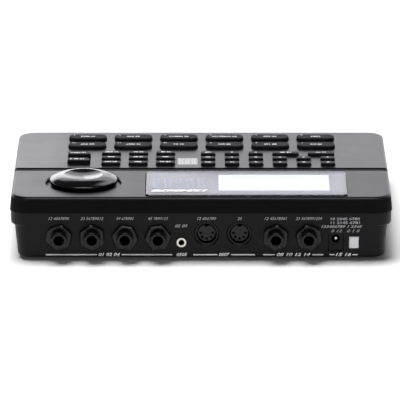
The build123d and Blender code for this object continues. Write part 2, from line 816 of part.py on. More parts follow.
with BuildPart() as tape_jack:
    with BuildSketch(Plane.XY.offset(board_top_z)):
        with Locations((tape_x, inner_wall_y - tape_body_depth / 2)):
            Rectangle(tape_body_width, tape_body_depth)
    extrude(amount=2 * (tape_z - board_top_z))
    with BuildSketch(back_plane(inner_wall_y)):
        with Locations((-tape_x, tape_z)):
            Circle(tape_nose_radius)
    extrude(amount=wall + tape_nose_length)
    with BuildSketch(back_plane(shell_rear_y + tape_nose_length)):
        with Locations((-tape_x, tape_z)):
            Circle(tape_bore_radius)
    extrude(amount=-tape_bore_depth, mode=Mode.SUBTRACT)
tape_jack.part.label = "tape_jack"

pin_step = pi / (din_pins - 1)
din_mouth_y = shell_rear_y - din_lip
with BuildPart() as din_bodies:
    with BuildSketch(Plane.XY.offset(board_top_z)):
        with Locations(*[(x, inner_wall_y - din_body_depth / 2) for x in din_sockets_x]):
            Rectangle(din_body_width, din_body_depth)
    extrude(amount=din_body_height)
    with BuildSketch(back_plane(inner_wall_y)):
        with Locations(*[(-x, din_z) for x in din_sockets_x]):
            Circle(din_radius)
    extrude(amount=din_mouth_y - inner_wall_y)
    with BuildSketch(back_plane(din_mouth_y)):
        with Locations(*[(-x, din_z) for x in din_sockets_x]):
            Circle(din_radius - din_shell)
    extrude(amount=-din_depth, mode=Mode.SUBTRACT)

with BuildPart() as din_inserts:
    with BuildSketch(back_plane(din_mouth_y - din_depth)):
        for x in din_sockets_x:
            with Locations((-x, din_z)):
                Circle(din_insert_radius)
            with Locations((-x, din_z + din_insert_radius)):
                Rectangle(din_key_width, din_key_width, mode=Mode.SUBTRACT)
            for pin in range(din_pins):
                across = din_pin_circle * cos(pin * pin_step)
                down = din_pin_circle * sin(pin * pin_step)
                with Locations((across - x, din_z - down)):
                    Circle(din_pin_radius, mode=Mode.SUBTRACT)
    extrude(amount=din_depth + din_lip - din_insert_set_back)
midi_sockets = Compound(din_bodies.solids() + din_inserts.solids())
midi_sockets.label = "midi_sockets"

inlet_hole_z = inlet_z + inlet_hole_rise
inlet_face_y = shell_rear_y - inlet_set_back
with BuildPart() as power_inlet:
    with BuildSketch(Plane.XY.offset(board_top_z)):
        with Locations((inlet_x, inner_wall_y - inlet_body_depth / 2)):
            Rectangle(inlet_width, inlet_body_depth)
    extrude(amount=inlet_z + inlet_height / 2 - board_top_z)
    with BuildSketch(back_plane(inner_wall_y - wall)):
        with Locations((-inlet_x, inlet_z)):
            Rectangle(inlet_width, inlet_height)
    extrude(amount=inlet_face_y - inner_wall_y + wall)
    with BuildSketch(back_plane(inlet_face_y)):
        with Locations((-inlet_x, inlet_hole_z)):
            Circle(inlet_hole_radius)
    extrude(amount=-inlet_hole_depth, mode=Mode.SUBTRACT)
power_inlet.part.label = "power_inlet"

with BuildPart() as power_inlet_pin:
    with BuildSketch(back_plane(inlet_face_y - inlet_hole_depth)):
        with Locations((-inlet_x, inlet_hole_z)):
            Circle(inlet_pin_radius)
    extrude(amount=inlet_hole_depth - inlet_pin_set_back)
    fillet(power_inlet_pin.faces().sort_by(Axis.Y)[-1].edges(), inlet_pin_radius / 2)
power_inlet_pin.part.label = "power_inlet_pin"

# ---- power key --------------------------------------------------------------------
power_front_y = shell_rear_y + power_stand_out
power_back_y = power_front_y - power_cap_length
with BuildPart() as power_button:
    with BuildSketch(back_plane(power_back_y)):
        with Locations((-power_x, power_z)):
            Rectangle(power_width, power_height)
    extrude(amount=power_cap_length)
    chamfer(power_button.faces().sort_by(Axis.Y)[-1].edges(), power_edge)
    with BuildSketch(back_plane(inner_wall_y - flange_gap)):
        with Locations((-power_x, power_z)):
            Rectangle(power_width + 2 * cap_flange_width, power_height + 2 * cap_flange_width)
    extrude(amount=-cap_flange_thickness)
power_button.part.label = "power_button"

with BuildPart() as power_switch:
    with BuildSketch(Plane.XY.offset(board_top_z)):
        with Locations((power_x, power_back_y - power_travel - cap_clearance - switch_depth / 2)):
            Rectangle(switch_width, switch_depth)
    extrude(amount=power_z + switch_rise - board_top_z)
power_switch.part.label = "power_switch"

# ---- feet and screws --------------------------------------------------------------
with BuildPart() as rubber_feet:
    with BuildSketch(Plane.XY):
        with Locations(*foot_places):
            Circle(foot_radius)
    extrude(amount=foot_height + foot_recess)
    fillet(rubber_feet.edges().group_by(Axis.Z)[0], foot_recess)
rubber_feet.part.label = "rubber_feet"

with BuildPart() as case_screws:
    with BuildSketch(Plane.XY.offset(base_z + screw_recess)):
        with Locations(*screw_places):
            Circle(screw_head_radius)
    extrude(amount=-screw_head_height)
    with BuildSketch(Plane.XY.offset(base_z + screw_recess)):
        with Locations(*screw_places):
            Circle(screw_radius)
    extrude(amount=screw_length)
    with BuildSketch(Plane.XY.offset(base_z + screw_recess - screw_head_height)):
        with Locations(*screw_places):
            Rectangle(screw_slot_length, screw_slot_width)
            Rectangle(screw_slot_width, screw_slot_length)
    extrude(amount=screw_slot_depth, mode=Mode.SUBTRACT)
case_screws.part.label = "case_screws"

# ---- write one file for each piece ------------------------------------------------
pieces = caps + [
    output_jacks,
    footswitch_jacks,
    midi_sockets,
    top_case.part,
    bottom_case.part,
    volume_knob.part,
    volume_pot.part,
    display_lens.part,
    display_mask.part,
    lcd_module.part,
    control_board.part,
    main_board.part,
    jack_nuts.part,
    tape_jack.part,
    power_inlet.part,
    power_inlet_pin.part,
    power_button.part,
    power_switch.part,
    rubber_feet.part,
    case_screws.part,
]
os.makedirs("parts", exist_ok=True)
for piece in pieces:
    export_step(piece, f"parts/{piece.label}.step")
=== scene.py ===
import json
from math import cos, dist, pi, radians, sin

import bpy
from mathutils import Matrix, Vector


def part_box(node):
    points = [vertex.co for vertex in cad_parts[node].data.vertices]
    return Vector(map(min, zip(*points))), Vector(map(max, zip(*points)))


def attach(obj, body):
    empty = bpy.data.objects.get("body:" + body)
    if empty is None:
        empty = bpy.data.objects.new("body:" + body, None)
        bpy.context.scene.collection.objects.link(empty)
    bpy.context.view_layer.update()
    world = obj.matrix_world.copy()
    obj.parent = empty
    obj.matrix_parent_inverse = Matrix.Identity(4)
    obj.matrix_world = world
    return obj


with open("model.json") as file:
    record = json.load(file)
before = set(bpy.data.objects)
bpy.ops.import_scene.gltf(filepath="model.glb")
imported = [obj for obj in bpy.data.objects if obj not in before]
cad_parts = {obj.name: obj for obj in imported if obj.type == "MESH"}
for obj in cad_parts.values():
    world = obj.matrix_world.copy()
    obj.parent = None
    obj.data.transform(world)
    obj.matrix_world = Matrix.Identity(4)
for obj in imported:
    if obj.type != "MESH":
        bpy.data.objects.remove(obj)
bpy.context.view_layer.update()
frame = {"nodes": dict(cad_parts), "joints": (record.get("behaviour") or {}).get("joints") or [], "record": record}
nodes = frame["nodes"]
scene = bpy.context.scene
scene.view_settings.view_transform = "Standard"

mm = 0.001
white = (1, 1, 1, 1)


# small helpers
def hexToLinear(code):
    channels = [int(code[i:i + 2], 16) / 255 for i in (1, 3, 5)]
    return tuple(c / 12.92 if c <= 0.04045 else ((c + 0.055) / 1.055) ** 2.4 for c in channels) + (1,)


# adds a node, sets what it is told, and links or fills its sockets by name or number
def addNode(tree, kind, settings=None, sockets=None):
    node = tree.nodes.new(kind)
    for name, value in (settings or {}).items():
        setattr(node, name, value)
    for socket, value in (sockets or {}).items():
        if isinstance(value, bpy.types.NodeSocket):
            tree.links.new(value, node.inputs[socket])
        else:
            node.inputs[socket].default_value = value
    return node


def addMath(tree, operation, first, second):
    return addNode(tree, "ShaderNodeMath", {"operation": operation}, {0: first, 1: second}).outputs["Value"]


# mixes two colours (RGBA) or two values (FLOAT)
def addMix(tree, kind, factor, first, second):
    return addNode(tree, "ShaderNodeMix", {"data_type": kind}, {
        "Factor": factor, "A": first, "B": second}).outputs["Result"]


# goes smoothly from one level to another while a value passes from low to high
def smoothStep(tree, value, low, high, start=0.0, end=1.0):
    return addNode(tree, "ShaderNodeMapRange", {"interpolation_type": "SMOOTHSTEP"}, {
        "Value": value, "From Min": low, "From Max": high, "To Min": start, "To Max": end}).outputs["Result"]


# rises at the first end of a span and falls at the second
def softSpan(tree, value, span, soft):
    rise = smoothStep(tree, value, span[0] - soft, span[0] + soft)
    fall = smoothStep(tree, value, span[1] - soft, span[1] + soft, 1.0, 0.0)
    return addMath(tree, "MULTIPLY", rise, fall)


# a pattern's scale from the real size of one grain or cell
def patternScale(sizeMm):
    return 1 / (sizeMm * mm)


def newMaterial(name):
    material = bpy.data.materials.new(name)
    material.use_nodes = True
    material.node_tree.nodes.clear()
    return material, material.node_tree


# painted shade: 1 on upright faces, which are drawn darker as if in shade, and a share of that in the groove
# between the decks, drawn darker as the shade in that crease
def wallMask(tree, place, finish):
    normal = addNode(tree, "ShaderNodeTexCoord").outputs["Normal"]
    facing = addNode(tree, "ShaderNodeSeparateXYZ", sockets={"Vector": normal}).outputs["Z"]
    low, high = finish["wallFacing"]
    upright = smoothStep(tree, facing, low, high, 1.0, 0.0)
    front, rear, soft = (value * mm for value in finish["groove"])
    along = addNode(tree, "ShaderNodeSeparateXYZ", sockets={"Vector": place}).outputs["Y"]
    groove = addMath(tree, "MULTIPLY", softSpan(tree, along, (front, rear), soft), finish["grooveShadeShare"])
    return addMath(tree, "MAXIMUM", upright, groove)


# 0 in a bore that runs along Y, which gets painted shade, and 1 round it
def platedMask(tree, place, finish):
    middleX, middleZ, radius, edge = (value * mm for value in finish["bore"])
    parts = addNode(tree, "ShaderNodeSeparateXYZ", sockets={"Vector": place}).outputs
    flat = addNode(tree, "ShaderNodeCombineXYZ", sockets={"X": parts["X"], "Y": parts["Z"]}).outputs["Vector"]
    away = addNode(tree, "ShaderNodeVectorMath", {"operation": "DISTANCE"}, {
        0: flat, 1: (middleX, middleZ, 0)}).outputs["Value"]
    return addNode(tree, "ShaderNodeMapRange", sockets={
        "Value": away, "From Min": radius, "From Max": radius + edge}).outputs["Result"]


# what all finishes share: the detail of their two patterns and the plain specular level
surfaceLook = {
    "cloudDetail": 3.0, "cloudRoughness": 0.6, "cloudSpread": (0.3, 0.7), "grainDetail": 2.0,
    "grainRoughness": 0.5, "specular": 0.5}


# plastics, rubber, metals and inks share one build: mottled colour, uneven gloss and a fine relief
def surfaceMaterial(name, finish):
    look = surfaceLook
    material, tree = newMaterial(name)
    place = addNode(tree, "ShaderNodeTexCoord").outputs["Object"]
    cloud = addNode(tree, "ShaderNodeTexNoise", sockets={
        "Vector": place, "Scale": patternScale(finish["cloudMm"]), "Detail": look["cloudDetail"],
        "Roughness": look["cloudRoughness"]}).outputs["Fac"]
    colour = addMix(tree, "RGBA", cloud, hexToLinear(finish["colour"]), hexToLinear(finish["colourTwo"]))
    low, high = look["cloudSpread"]
    gloss = addNode(tree, "ShaderNodeMapRange", sockets={
        "Value": cloud, "From Min": low, "From Max": high,
        "To Min": finish["roughness"] - finish["unevenness"],
        "To Max": finish["roughness"] + finish["unevenness"]}).outputs["Result"]
    specular = look["specular"]
    metal = finish["fixed"].get("Metallic", 0.0)
    if "wallShadeColour" in finish:
        # upright faces and the groove between the decks get painted shade: a darker colour, with duller gloss and
        # weaker specular
        wallShade = wallMask(tree, place, finish)
        colour = addMix(tree, "RGBA", wallShade, colour, hexToLinear(finish["wallShadeColour"]))
        gloss = addMix(tree, "FLOAT", wallShade, gloss, finish["wallRoughness"])
        specular = addMix(tree, "FLOAT", wallShade, specular, finish["wallSpecular"])
    if "boreShadeColour" in finish:
        # the bore gets painted shade: a black colour and no metal
        metal = platedMask(tree, place, finish)
        colour = addMix(tree, "RGBA", metal, hexToLinear(finish["boreShadeColour"]), colour)
    grain = addNode(tree, "ShaderNodeTexNoise", sockets={
        "Vector": place, "Scale": patternScale(finish["grainMm"]), "Detail": look["grainDetail"],
        "Roughness": look["grainRoughness"]}).outputs["Fac"]
    relief = addNode(tree, "ShaderNodeBump", sockets={
        "Height": grain, "Strength": finish["relief"], "Distance": finish["reliefMm"] * mm})
    shader = addNode(tree, "ShaderNodeBsdfPrincipled", sockets={
        **finish["fixed"], "Base Color": colour, "Roughness": gloss, "Metallic": metal,
        "Specular IOR Level": specular, "Normal": relief.outputs["Normal"]})
    addNode(tree, "ShaderNodeOutputMaterial", sockets={"Surface": shader.outputs["BSDF"]})
    return material


nickel = {
    "colour": "#c9c6bf", "colourTwo": "#bdb9b0", "cloudMm": 2, "roughness": 0.22, "unevenness": 0.05,
    "grainMm": 0.5, "relief": 0.06, "reliefMm": 0.01, "fixed": {"Metallic": 1.0}}
ink = {
    "cloudMm": 1.5, "roughness": 0.55, "unevenness": 0.04, "grainMm": 0.4, "relief": 0.1, "reliefMm": 0.01,
    "fixed": {"IOR": 1.5}}
finishes = {
    # moulded ABS with a fine spark-eroded texture: black, and greyer where light grazes it; its upright faces and
    # the groove between the decks carry painted shade
    "satinAbsAndShade": {
        "colour": "#0a0a0d", "colourTwo": "#0e0e12", "cloudMm": 18, "roughness": 0.3,
        "unevenness": 0.02, "grainMm": 0.7, "relief": 0.1, "reliefMm": 0.02,
        # upright faces carry painted shade: a darker colour, and a duller gloss and weaker specular; wallFacing is
        # how far a face looks up where that fades out
        "wallShadeColour": "#030304", "wallRoughness": 0.85, "wallSpecular": 0.24, "wallFacing": (0.12, 0.3),
        # front, rear and softness of the groove in mm, and its share of the painted shade of the upright faces
        "groove": (12.1, 19.0, 0.2), "grooveShadeShare": 0.45,
        "fixed": {"IOR": 1.4}},
    # moulded ABS with a coarser texture: duller, and a little lighter than the upper shell
    "grainedAbs": {
        "colour": "#0a090b", "colourTwo": "#0f0e10", "cloudMm": 14, "roughness": 0.45,
        "unevenness": 0.03, "grainMm": 0.8, "relief": 0.25, "reliefMm": 0.03,
        "fixed": {"IOR": 1.26}},
    # silicone rubber pads: dull, with a soft grey bloom
    "padRubber": {
        "colour": "#18181a", "colourTwo": "#1f1f21", "cloudMm": 5, "roughness": 0.72,
        "unevenness": 0.04, "grainMm": 0.6, "relief": 0.15, "reliefMm": 0.02,
        "fixed": {"IOR": 1.36}},
    # moulded ABS keys with a matt top
    "keyAbs": {
        "colour": "#161618", "colourTwo": "#1d1d1f", "cloudMm": 4, "roughness": 0.6,
        "unevenness": 0.04, "grainMm": 0.6, "relief": 0.12, "reliefMm": 0.02,
        "fixed": {"IOR": 1.5}},
    # polished ABS knob: near-black with clear reflections
    "polishedAbs": {
        "colour": "#050506", "colourTwo": "#08080a", "cloudMm": 12, "roughness": 0.1,
        "unevenness": 0.02, "grainMm": 1.5, "relief": 0.03, "reliefMm": 0.01,
        "fixed": {"IOR": 1.5, "Coat Weight": 0.6, "Coat Roughness": 0.04}},
    # blue-black print on the back of the window
    "maskInk": {
        "colour": "#1f1f30", "colourTwo": "#252538", "cloudMm": 9, "roughness": 0.5,
        "unevenness": 0.03, "grainMm": 0.8, "relief": 0.05, "reliefMm": 0.01,
        "fixed": {"IOR": 1.45}},
    # glass-filled nylon of the jack collars and DIN inserts: black, slightly silky
    "blackNylon": {
        "colour": "#060607", "colourTwo": "#0a0a0c", "cloudMm": 3, "roughness": 0.27,
        "unevenness": 0.05, "grainMm": 0.5, "relief": 0.15, "reliefMm": 0.02,
        "fixed": {"IOR": 1.35}},
    # moulded nylon nuts: black flats with a silky glint
    "greyNylon": {
        "colour": "#050506", "colourTwo": "#09090a", "cloudMm": 2.5, "roughness": 0.24,
        "unevenness": 0.06, "grainMm": 0.5, "relief": 0.15, "reliefMm": 0.02,
        "fixed": {"IOR": 1.37}},
    # moulded white ABS of the power key
    "whiteAbs": {
        "colour": "#e2e2e4", "colourTwo": "#e8e8ea", "cloudMm": 4, "roughness": 0.35,
        "unevenness": 0.03, "grainMm": 0.6, "relief": 0.08, "reliefMm": 0.01,
        "fixed": {"IOR": 1.5}},
    # vulcanised rubber feet: dark grey and quite matt
    "footRubber": {
        "colour": "#161616", "colourTwo": "#222222", "cloudMm": 3, "roughness": 0.8,
        "unevenness": 0.05, "grainMm": 0.5, "relief": 0.3, "reliefMm": 0.03,
        "fixed": {"IOR": 1.5}},
    # nickel-plated brass of the inlet's pin: warm and bright
    "nickelPlate": nickel,
    # nickel-plated sleeve of the tape jack: a bright ring round a bore painted black and not metal, as painted
    # shade inside the hole;
    # the bore has its middle in x and z, its radius and the softness of its edge in mm
    "nickelSleeve": {**nickel, "bore": (12.2, 12.3, 1.82, 0.05), "boreShadeColour": "#050505"},
    # zinc-plated steel of the potentiometer: cool grey, half matt
    "zincPlate": {
        "colour": "#a8abae", "colourTwo": "#979ba0", "cloudMm": 3, "roughness": 0.38,
        "unevenness": 0.06, "grainMm": 0.5, "relief": 0.1, "reliefMm": 0.01,
        "fixed": {"Metallic": 1.0}},
    # blackened steel screws: dark, with uneven gloss
    "blackenedSteel": {
        "colour": "#3a3a3c", "colourTwo": "#2c2c2e", "cloudMm": 2, "roughness": 0.45,
        "unevenness": 0.08, "grainMm": 0.5, "relief": 0.12, "reliefMm": 0.01,
        "fixed": {"Metallic": 1.0}},
    # green solder mask over glass-fibre board
    "solderMask": {
        "colour": "#123f22", "colourTwo": "#0f361d", "cloudMm": 6, "roughness": 0.3,
        "unevenness": 0.04, "grainMm": 0.6, "relief": 0.2, "reliefMm": 0.03,
        "fixed": {"IOR": 1.5}},
    # screen-printed white ink
    "whiteInk": {**ink, "colour": "#ececec", "colourTwo": "#f6f6f6"},
    # opaque pale grey ink of the panel between the keys
    "silverInk": {**ink, "colour": "#a8a8aa", "colourTwo": "#b8b8ba"},
    # thinly printed white ink: grey where the black plastic shows through
    "greyInk": {**ink, "colour": "#9a9a9c", "colourTwo": "#a8a8aa"},
    # thin pale blue ink, a little lighter than the window behind it
    "paleBlueInk": {**ink, "colour": "#bcc4da", "colourTwo": "#c8d0e4", "roughness": 0.4},
}
materials = {name: surfaceMaterial(name, finish) for name, finish in finishes.items()}

# clear acrylic window: lets the light for the screen pass, and mirrors the studio
windowLook = {
    "tint": "#f2f4f8", "roughness": 0.04, "ior": 1.43, "waveMm": 30, "waveDetail": 1.0, "relief": 0.02,
    "reliefMm": 0.05}


def acrylicMaterial(look):
    material, tree = newMaterial("clearAcrylic")
    place = addNode(tree, "ShaderNodeTexCoord").outputs["Object"]
    wave = addNode(tree, "ShaderNodeTexNoise", sockets={
        "Vector": place, "Scale": patternScale(look["waveMm"]), "Detail": look["waveDetail"]})
    relief = addNode(tree, "ShaderNodeBump", sockets={
        "Height": wave.outputs["Fac"], "Strength": look["relief"], "Distance": look["reliefMm"] * mm})
    glass = addNode(tree, "ShaderNodeBsdfPrincipled", sockets={
        "Base Color": hexToLinear(look["tint"]), "Roughness": look["roughness"], "IOR": look["ior"],
        "Transmission Weight": 1.0, "Normal": relief.outputs["Normal"]})
    clear = addNode(tree, "ShaderNodeBsdfTransparent", sockets={"Color": hexToLinear(look["tint"])})
    rays = addNode(tree, "ShaderNodeLightPath").outputs
    passes = addMath(tree, "MAXIMUM", rays["Is Shadow Ray"], rays["Is Diffuse Ray"])
    blend = addNode(tree, "ShaderNodeMixShader", sockets={
        0: passes, 1: glass.outputs["BSDF"], 2: clear.outputs["BSDF"]})
    addNode(tree, "ShaderNodeOutputMaterial", sockets={"Surface": blend.outputs["Shader"]})
    return material


materials["clearAcrylic"] = acrylicMaterial(windowLook)

# reflective liquid crystal screen: pale grey with a faint grid of cells
screenLook = {
    "field": "#e8ebee", "cell": "#dfe3e8", "cellMm": 1.1, "gap": 0.12, "roughness": 0.3, "ior": 1.5}


def screenMaterial(look):
    material, tree = newMaterial("liquidCrystalGlass")
    place = addNode(tree, "ShaderNodeTexCoord").outputs["Object"]
    cells = addNode(tree, "ShaderNodeTexBrick", {"offset": 0.0}, {
        "Vector": place, "Scale": patternScale(look["cellMm"]), "Color1": hexToLinear(look["cell"]),
        "Color2": hexToLinear(look["cell"]), "Mortar": hexToLinear(look["field"]),
        "Mortar Size": look["gap"], "Brick Width": 1.0, "Row Height": 1.0})
    shader = addNode(tree, "ShaderNodeBsdfPrincipled", sockets={
        "Base Color": cells.outputs["Color"], "Roughness": look["roughness"], "IOR": look["ior"]})
    addNode(tree, "ShaderNodeOutputMaterial", sockets={"Surface": shader.outputs["BSDF"]})
    return material


materials["liquidCrystalGlass"] = screenMaterial(screenLook)

nodeFinish = {
    "top_case": "satinAbsAndShade", "bottom_case": "grainedAbs", "display_lens": "clearAcrylic",
    "display_mask": "maskInk", "lcd_module": "liquidCrystalGlass", "control_board": "solderMask",
    "main_board": "solderMask", "volume_pot": "zincPlate", "output_jacks": "blackNylon",
    "footswitch_jacks": "blackNylon", "jack_nuts": "greyNylon", "tape_jack": "nickelSleeve",
    "midi_sockets": "blackNylon", "power_inlet": "grainedAbs", "power_inlet_pin": "nickelPlate",
    "power_switch": "blackNylon", "rubber_feet": "footRubber", "case_screws": "blackenedSteel",
    "volume_knob": "polishedAbs", "power_button": "whiteAbs"}


def finishOf(name):
    if name in nodeFinish:
        return nodeFinish[name]
    return "padRubber" if name.startswith("drum_pad") else "keyAbs"


for name, node in nodes.items():
    node.material_slots[0].material = materials[finishOf(name)]
print("stage: materials on", len(nodes), "nodes")

# prints: thin closed digits and bars of ink, with lengths in mm
printLook = {
    "depth": 0.03, "lift": 0.01,
    # height of a digit as part of the font's size, and the rest as part of that height
    "digitShare": 0.7, "digitPitch": 0.7, "weight": 0.07,
    "curveSteps": 2, "cornerSteps": 4}
inkDepth = printLook["depth"] * mm
inkLift = printLook["lift"] * mm
samePoint = 0.0001 * mm
sameHeight = 0.02 * mm


# origin, reading direction and normal of a printed face
def facePlace(origin, right, normal):
    up = normal.cross(right)
    return Matrix((
        (right.x, up.x, normal.x, origin.x), (right.y, up.y, normal.y, origin.y),
        (right.z, up.z, normal.z, origin.z), (0, 0, 0, 1)))


# digits of a height round a middle point, drawn out to a width; weight makes them bolder
def digits(text, middle, height, width, slant=0.0, weight=printLook["weight"]):
    curve = bpy.data.curves.new("digits", "FONT")
    curve.body = text
    curve.size = height * mm / printLook["digitShare"]
    curve.align_x = "CENTER"
    curve.align_y = "CENTER"
    curve.shear = slant
    curve.offset = weight * height * mm
    curve.extrude = inkDepth / 2
    curve.resolution_u = printLook["curveSteps"]
    holder = bpy.data.objects.new("digits", curve)
    mesh = bpy.data.meshes.new_from_object(holder)
    bpy.data.objects.remove(holder)
    across = [vertex.co.x for vertex in mesh.vertices]
    stretch = width * mm / (max(across) - min(across))
    middleX = (max(across) + min(across)) / 2
    for vertex in mesh.vertices:
        vertex.co.x = (vertex.co.x - middleX) * stretch + middle[0] * mm
        vertex.co.y += middle[1] * mm
        vertex.co.z += inkDepth / 2
    return mesh


# counting digits that fill a width; five or more have a gap after the second
def countRow(width, height, first):
    count = max(1, round(width / (printLook["digitPitch"] * height)))
    row = "".join(str((first + i) % 10) for i in range(count))
    return row[:2] + " " + row[3:] if count >= 5 else row


# even rows of two-digit numbers
def numberRows(look):
    marks = []
    for row in range(look["rows"]):
        level = ((look["rows"] - 1) / 2 - row) * look["rowPitch"]
        first = look["firstNumber"] + row * look["rowStep"]
        text = " ".join(str(first + column) for column in range(look["columns"]))
        marks.append(digits(text, (0, level), look["rowHeight"], look["rowWidth"], look["slant"],
                            look["rowWeight"]))
    return marks


# bar round a middle point, with round ends or a corner radius
def bar(middle, length, width, corner=None):
    corner = corner or width / 2
    steps = printLook["cornerSteps"]
    outline = []
    for quarter, (signX, signY) in enumerate(((1, 1), (-1, 1), (-1, -1), (1, -1))):
        for step in range(steps + 1):
            turn = (quarter + step / steps) * pi / 2
            x = middle[0] + signX * (length / 2 - corner) + cos(turn) * corner
            y = middle[1] + signY * (width / 2 - corner) + sin(turn) * corner
            point = (x * mm, y * mm)
            if not outline or dist(point, outline[-1]) > samePoint:
                outline.append(point)
    if dist(outline[0], outline[-1]) < samePoint:
        outline.pop()
    count = len(outline)
    points = [(x, y, 0) for x, y in outline] + [(x, y, inkDepth) for x, y in outline]
    faces = [tuple(reversed(range(count))), tuple(range(count, 2 * count))]
    faces += [(i, (i + 1) % count, count + (i + 1) % count, count + i) for i in range(count)]
    mesh = bpy.data.meshes.new("bar")
    mesh.from_pydata(points, [], faces)
    return mesh


# joins the marks of one face into a piece that rides on a body
def printPiece(name, marks, place, body, ink="whiteInk"):
    points = []
    faces = []
    for mark in marks:
        start = len(points)
        points += [place @ vertex.co for vertex in mark.vertices]
        faces += [[start + i for i in face.vertices] for face in mark.polygons]
        bpy.data.meshes.remove(mark)
    mesh = bpy.data.meshes.new(name)
    mesh.from_pydata(points, [], faces)
    mesh.materials.append(materials[ink])
    piece = bpy.data.objects.new(name, mesh)
    scene.collection.objects.link(piece)
    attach(piece, body)


def jointAxis(child):
    return Vector(next(joint["axis"] for joint in frame["joints"] if joint["child"] == child))


rightHand = Vector((1, 0, 0))
playUp = -jointAxis("drum_pad_1")
displayUp = jointAxis("volume_knob")


# height of a node's top along up
def topHeight(name, up):
    return max(vertex.co.dot(up) for vertex in nodes[name].data.vertices)


# middle of the top of a node that faces along up
def topMiddle(name, up):
    back = up.cross(rightHand)
    height = topHeight(name, up)
    top = [vertex.co for vertex in nodes[name].data.vertices if vertex.co.dot(up) > height - sameHeight]
    across = [corner.x for corner in top]
    along = [corner.dot(back) for corner in top]
    middleX = (min(across) + max(across)) / 2
    middleY = (min(along) + max(along)) / 2
    return rightHand * middleX + back * middleY + up * (height + inkLift)


# place on the top of a node, above a point of the plan
def topPlace(name, up, middle):
    x, y = (value * mm for value in middle)
    height = (topHeight(name, up) - y * up.y) / up.z
    return facePlace(Vector((x, y, height)) + up * inkLift, rightHand, up)


# prints marks on the middle of a cap's top
def capPrint(name, marks, cap):
    printPiece(name, marks, facePlace(topMiddle(cap, playUp), rightHand, playUp), cap)


# legends on the pads, each drawn out to its own width, with the pad's number in the corner
padLegend = {
    "height": 2.0, "middle": (0, 0.5), "numberHeight": 1.3, "numberMiddle": (8.8, -3.2), "digitWidth": 1.0,
    "widths": (6.2, 8.9, 16.0, 13.0, 8.4, 9.3, 7.7, 8.0, 8.2, 6.6, 9.3, 8.9)}


def buildPadLegends():
    look = padLegend
    for number, width in enumerate(look["widths"], start=1):
        corner = str(number)
        marks = [
            digits(countRow(width, look["height"], number), look["middle"], look["height"], width),
            digits(corner, look["numberMiddle"], look["numberHeight"], look["digitWidth"] * len(corner))]
        capPrint(f"padLegend{number}", marks, f"drum_pad_{number}")


# legends on the keys; a key that is alone in its family has a further mark at its right
keyLegend = {
    "height": 1.9, "markMiddle": (5.0, 0), "markWidth": 1.3,
    "widths": {
        "function_button": (6.0, 6.4, 8.9, 4.4, 6.0, 4.4, 6.6, 4.6, 7.8),
        "number_button": (3.8, 1.5, 1.5, 3.8, 1.6, 1.8, 1.8, 1.5, 1.8, 3.8, 2.4, 1.8, 1.8, 2.2, 1.8),
        "mode_button": (7.0, 6.9), "start_button": (6.6,), "stop_button": (8.0,)}}


def buildKeyLegends():
    look = keyLegend
    for family, widths in look["widths"].items():
        alone = len(widths) == 1
        for number, width in enumerate(widths, start=1):
            cap = family if alone else f"{family}_{number}"
            marks = [digits(countRow(width, look["height"], number), (0, 0), look["height"], width)]
            if alone:
                marks.append(digits("0", look["markMiddle"], look["height"], look["markWidth"]))
            capPrint(f"{cap}_legend", marks, cap)


buildPadLegends()
buildKeyLegends()
print("stage: legends on the caps")

# pale printed panel with rows of numbers, on the deck between the keys
tablePanel = {
    "middle": (8.6, -4.8), "width": 12.6, "depth": 17.4, "corner": 0.8,
    "rows": 5, "columns": 3, "firstNumber": 11, "rowStep": 10,
    "rowHeight": 1.5, "rowPitch": 3.1, "rowWidth": 10.4, "rowWeight": 0.0, "slant": 0.0}


def buildTablePanel():
    look = tablePanel
    place = topPlace("top_case", playUp, look["middle"])
    panel = bar((0, 0), look["width"], look["depth"], look["corner"])
    printPiece("tablePanel", [panel], place, "case", "silverInk")
    printPiece("tableNumbers", numberRows(look), place @ Matrix.Translation((0, 0, inkDepth)), "case")


# numbers on the window: one bold row next to the sockets, and a pale block of rows behind it
windowPrint = {
    "boldText": "12345678", "boldMiddle": (13.4, 66.3), "boldHeight": 4.2, "boldWidth": 35.4,
    "boldWeight": 0.1, "slant": 0.35,
    "blockMiddle": (13.9, 49.8), "rows": 5, "columns": 5, "firstNumber": 10, "rowStep": 5,
    "rowHeight": 2.2, "rowPitch": 4.4, "rowWidth": 33.6, "rowWeight": 0.05}


def buildWindowPrints():
    look = windowPrint
    bold = digits(
        look["boldText"], (0, 0), look["boldHeight"], look["boldWidth"], look["slant"], look["boldWeight"])
    printPiece("windowNumbers", [bold], topPlace("display_lens", displayUp, look["boldMiddle"]), "case")
    place = topPlace("display_lens", displayUp, look["blockMiddle"])
    printPiece("windowRows", numberRows(look), place, "case", "paleBlueInk")


buildTablePanel()
buildWindowPrints()
print("stage: prints on the deck and the window")

